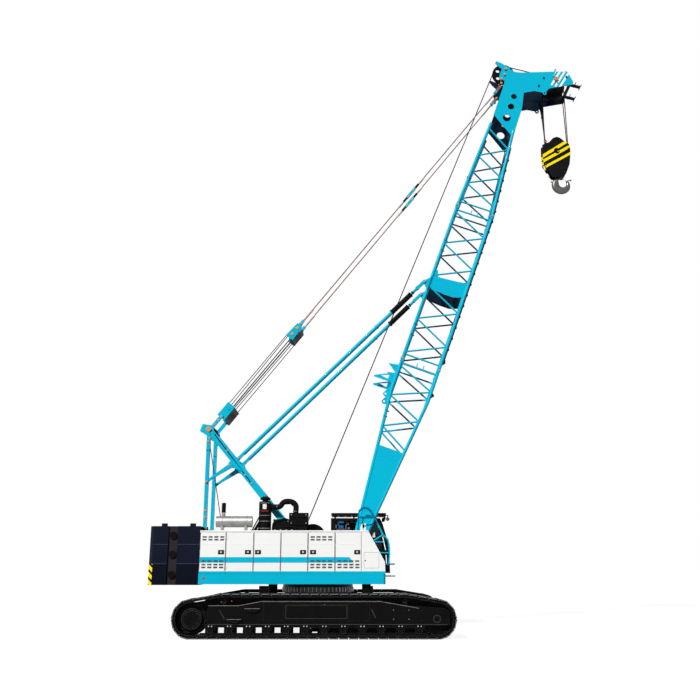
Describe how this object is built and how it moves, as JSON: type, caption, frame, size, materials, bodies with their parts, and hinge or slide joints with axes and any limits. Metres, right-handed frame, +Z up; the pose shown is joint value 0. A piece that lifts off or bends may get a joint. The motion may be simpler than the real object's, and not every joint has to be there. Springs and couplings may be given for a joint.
{
  "type": "crawler dynamic compaction machine",
  "caption": "Crawler crane for dynamic compaction: lattice boom with hook block, gantry with telescopic boom stops, slewing house with cab and rear counterweight.",
  "frame": {"origin": "on the slewing axis at ground level, under the middle of the tracks", "axes": "+X ahead, the way the boom points; +Y to the machine's left; +Z up"},
  "size_m": [14.9757, 5.8, 20.5542],
  "materials": {
    "track_iron": "dark, worn",
    "base_black": "satin",
    "ring_steel": "oiled",
    "cyan_paint": "gloss",
    "white_paint": "gloss",
    "navy_paint": "satin",
    "deck_black": "satin",
    "silencer_steel": "bright",
    "cab_black": "satin",
    "cab_glass": "tinted",
    "seat_cloth": "woven",
    "rope_wire": "greased",
    "hook_iron": "ground"
  },
  "bodies": {
    "undercarriage": {"carbody": "base_black", "slew_ring": "ring_steel", "track_right": "track_iron", "track_left": "track_iron", "side_frame_right": "base_black", "side_frame_left": "base_black", "bottom_rollers_right": "track_iron", "bottom_rollers_left": "track_iron", "sprockets": "track_iron", "idlers": "track_iron", "carrier_rollers": "track_iron"},
    "upper": {"platform": "cyan_paint", "counterweight_lower": "navy_paint", "counterweight_middle": "navy_paint", "counterweight_upper": "navy_paint", "house_right": "white_paint", "house_left": "white_paint", "engine": "deck_black", "exhaust_silencer": "silencer_steel", "air_cleaner": "deck_black", "hydraulic_unit": "deck_black", "winch_frames": "deck_black", "front_ladder": "cyan_paint", "cab_shell": "cab_black", "cab_glass": "cab_glass", "cab_seat": "seat_cloth", "cab_roof_guard": "deck_black", "gantry_mast": "cyan_paint", "gantry_legs": "cyan_paint", "gantry_braces": "cyan_paint", "gantry_sheaves": "deck_black"},
    "hoist_drum": {"hoist_drum": "rope_wire"},
    "luffing_drum": {"luffing_drum": "rope_wire"},
    "boom": {"boom_foot": "cyan_paint", "boom_insert": "cyan_paint", "boom_head": "cyan_paint", "head_sheaves": "deck_black"},
    "boom_tip": {"tip_sheaves": "deck_black", "hoist_falls": "rope_wire"},
    "hook_block": {"hook_block": "deck_black", "hook_sheaves": "deck_black"},
    "hook": {"hook": "hook_iron"},
    "strut_tubes": {"strut_tubes": "cyan_paint"},
    "strut_rods": {"strut_rods": "deck_black"},
    "tackle_head": {"tackle_head": "cyan_paint", "luffing_falls": "rope_wire"},
    "bridle": {"bridle": "cyan_paint", "stays": "rope_wire"},
    "cab_door": {"cab_door": "cab_black"},
    "door_right_1": {"door_right_1": "white_paint"},
    "door_right_2": {"door_right_2": "white_paint"},
    "door_right_3": {"door_right_3": "white_paint"},
    "door_right_4": {"door_right_4": "white_paint"},
    "door_right_5": {"door_right_5": "white_paint"},
    "door_right_6": {"door_right_6": "white_paint"},
    "door_left_1": {"door_left_1": "white_paint"},
    "door_left_2": {"door_left_2": "white_paint"},
    "door_left_3": {"door_left_3": "white_paint"},
    "door_left_4": {"door_left_4": "white_paint"}
  },
  "joints": [
    {"name": "slew", "type": "hinge", "parent": "undercarriage", "child": "upper", "pos_m": [0, 0, 1.5], "axis": [0, 0, 1], "continuous": true},
    {"name": "boom_luff", "type": "hinge", "parent": "upper", "child": "boom", "pos_m": [1.05, 0, 2.1], "axis": [0, -1, 0], "range_deg": [-10, 7]},
    {"name": "strut_swing", "type": "hinge", "parent": "upper", "child": "strut_tubes", "pos_m": [-2.63, 0, 5.475], "axis": [0, -1, 0], "range_deg": [-9.6, 6.75]},
    {"name": "strut_slide", "type": "slide", "parent": "strut_tubes", "child": "strut_rods", "axis": [0.7119, 0, 0.7023], "range_m": [-0.615, 0.875]},
    {"name": "tackle_swing", "type": "hinge", "parent": "upper", "child": "tackle_head", "pos_m": [-3.65, 0, 6.43], "axis": [0, -1, 0], "range_deg": [-10.3, 7.25]},
    {"name": "tackle_slide", "type": "slide", "parent": "tackle_head", "child": "bridle", "axis": [0.6197, 0, 0.7848], "range_m": [-0.785, 1.12]},
    {"name": "tip_swing", "type": "hinge", "parent": "boom", "child": "boom_tip", "pos_m": [8.78979, 0, 19.75985], "axis": [0, -1, 0], "range_deg": [-7.1, 10.1]},
    {"name": "hoist", "type": "slide", "parent": "boom_tip", "child": "hook_block", "axis": [0, 0, 1], "range_m": [-13.5, 0.8]},
    {"name": "hook_swivel", "type": "hinge", "parent": "hook_block", "child": "hook", "pos_m": [8.78979, 0, 15.67], "axis": [0, 0, 1], "continuous": true},
    {"name": "hoist_drum_turn", "type": "hinge", "parent": "upper", "child": "hoist_drum", "pos_m": [-0.17, 0, 2.95], "axis": [0, 1, 0], "continuous": true},
    {"name": "luffing_drum_turn", "type": "hinge", "parent": "upper", "child": "luffing_drum", "pos_m": [-2.35, 0, 2.26], "axis": [0, 1, 0], "continuous": true},
    {"name": "door_right_1_hinge", "type": "hinge", "parent": "upper", "child": "door_right_1", "pos_m": [-3.5865, -1.668, 2.45], "axis": [0, 0, -1], "range_deg": [0, 85]},
    {"name": "door_right_2_hinge", "type": "hinge", "parent": "upper", "child": "door_right_2", "pos_m": [-2.7805, -1.668, 2.45], "axis": [0, 0, -1], "range_deg": [0, 85]},
    {"name": "door_right_3_hinge", "type": "hinge", "parent": "upper", "child": "door_right_3", "pos_m": [-1.1195, -1.668, 2.45], "axis": [0, 0, 1], "range_deg": [0, 85]},
    {"name": "door_right_4_hinge", "type": "hinge", "parent": "upper", "child": "door_right_4", "pos_m": [-1.0805, -1.668, 2.45], "axis": [0, 0, -1], "range_deg": [0, 85]},
    {"name": "door_right_5_hinge", "type": "hinge", "parent": "upper", "child": "door_right_5", "pos_m": [0.5575, -1.668, 2.45], "axis": [0, 0, 1], "range_deg": [0, 85]},
    {"name": "door_right_6_hinge", "type": "hinge", "parent": "upper", "child": "door_right_6", "pos_m": [0.5965, -1.668, 2.45], "axis": [0, 0, -1], "range_deg": [0, 85]},
    {"name": "door_left_1_hinge", "type": "hinge", "parent": "upper", "child": "door_left_1", "pos_m": [-3.5865, 1.668, 2.45], "axis": [0, 0, 1], "range_deg": [0, 85]},
    {"name": "door_left_2_hinge", "type": "hinge", "parent": "upper", "child": "door_left_2", "pos_m": [-2.7805, 1.668, 2.45], "axis": [0, 0, 1], "range_deg": [0, 85]},
    {"name": "door_left_3_hinge", "type": "hinge", "parent": "upper", "child": "door_left_3", "pos_m": [-1.1195, 1.668, 2.45], "axis": [0, 0, -1], "range_deg": [0, 85]},
    {"name": "door_left_4_hinge", "type": "hinge", "parent": "upper", "child": "door_left_4", "pos_m": [-1.0805, 1.668, 2.45], "axis": [0, 0, 1], "range_deg": [0, 85]},
    {"name": "cab_door_hinge", "type": "hinge", "parent": "upper", "child": "cab_door", "pos_m": [0.497, 1.668, 2.7], "axis": [0, 0, 1], "range_deg": [0, 90]}
  ],
  "couplings": [
    {"joint": "strut_swing", "follows": "boom_luff", "ratio": 0.954},
    {"joint": "strut_slide", "follows": "boom_luff", "m_per_rad": -4.97},
    {"joint": "tackle_swing", "follows": "boom_luff", "ratio": 1.015},
    {"joint": "tackle_slide", "follows": "boom_luff", "m_per_rad": -6.37},
    {"joint": "tip_swing", "follows": "boom_luff", "ratio": -1}
  ]
}
